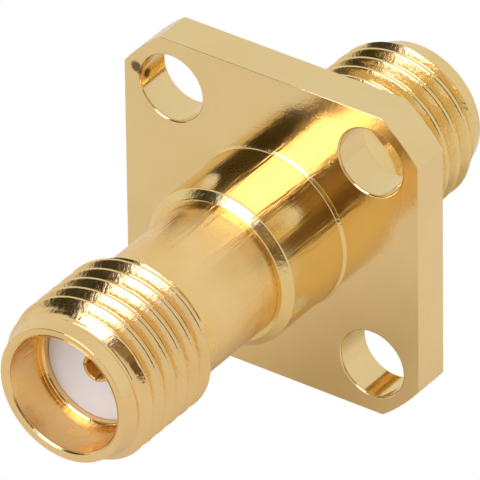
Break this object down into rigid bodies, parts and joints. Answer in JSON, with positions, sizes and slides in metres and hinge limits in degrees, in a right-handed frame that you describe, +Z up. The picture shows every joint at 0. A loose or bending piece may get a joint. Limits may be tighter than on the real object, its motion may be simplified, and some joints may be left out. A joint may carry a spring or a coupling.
{
  "type": "coaxial panel adapter",
  "caption": "Double-ended coaxial jack with threaded barrels, a square screw flange, a plain collar, white insulators and a slotted socket contact.",
  "frame": {"origin": "on the connector's axis at the flange's front face, in the middle of the four mounting holes", "axes": "+Y along the axis from the front jack to the rear jack, +Z up along one side of the square flange"},
  "size_m": [0.0126, 0.0223, 0.0126],
  "materials": {
    "polished_plating": "polished gold plating",
    "satin_plating": "bright gold plating with faint turning marks",
    "contact_plating": "heavy gold plating",
    "insulator": "white fluoropolymer"
  },
  "bodies": {
    "root": {"flange_body": "polished_plating", "front_barrel": "satin_plating", "front_insulator": "insulator", "rear_insulator": "insulator", "centre_contact": "contact_plating"}
  },
  "joints": []
}
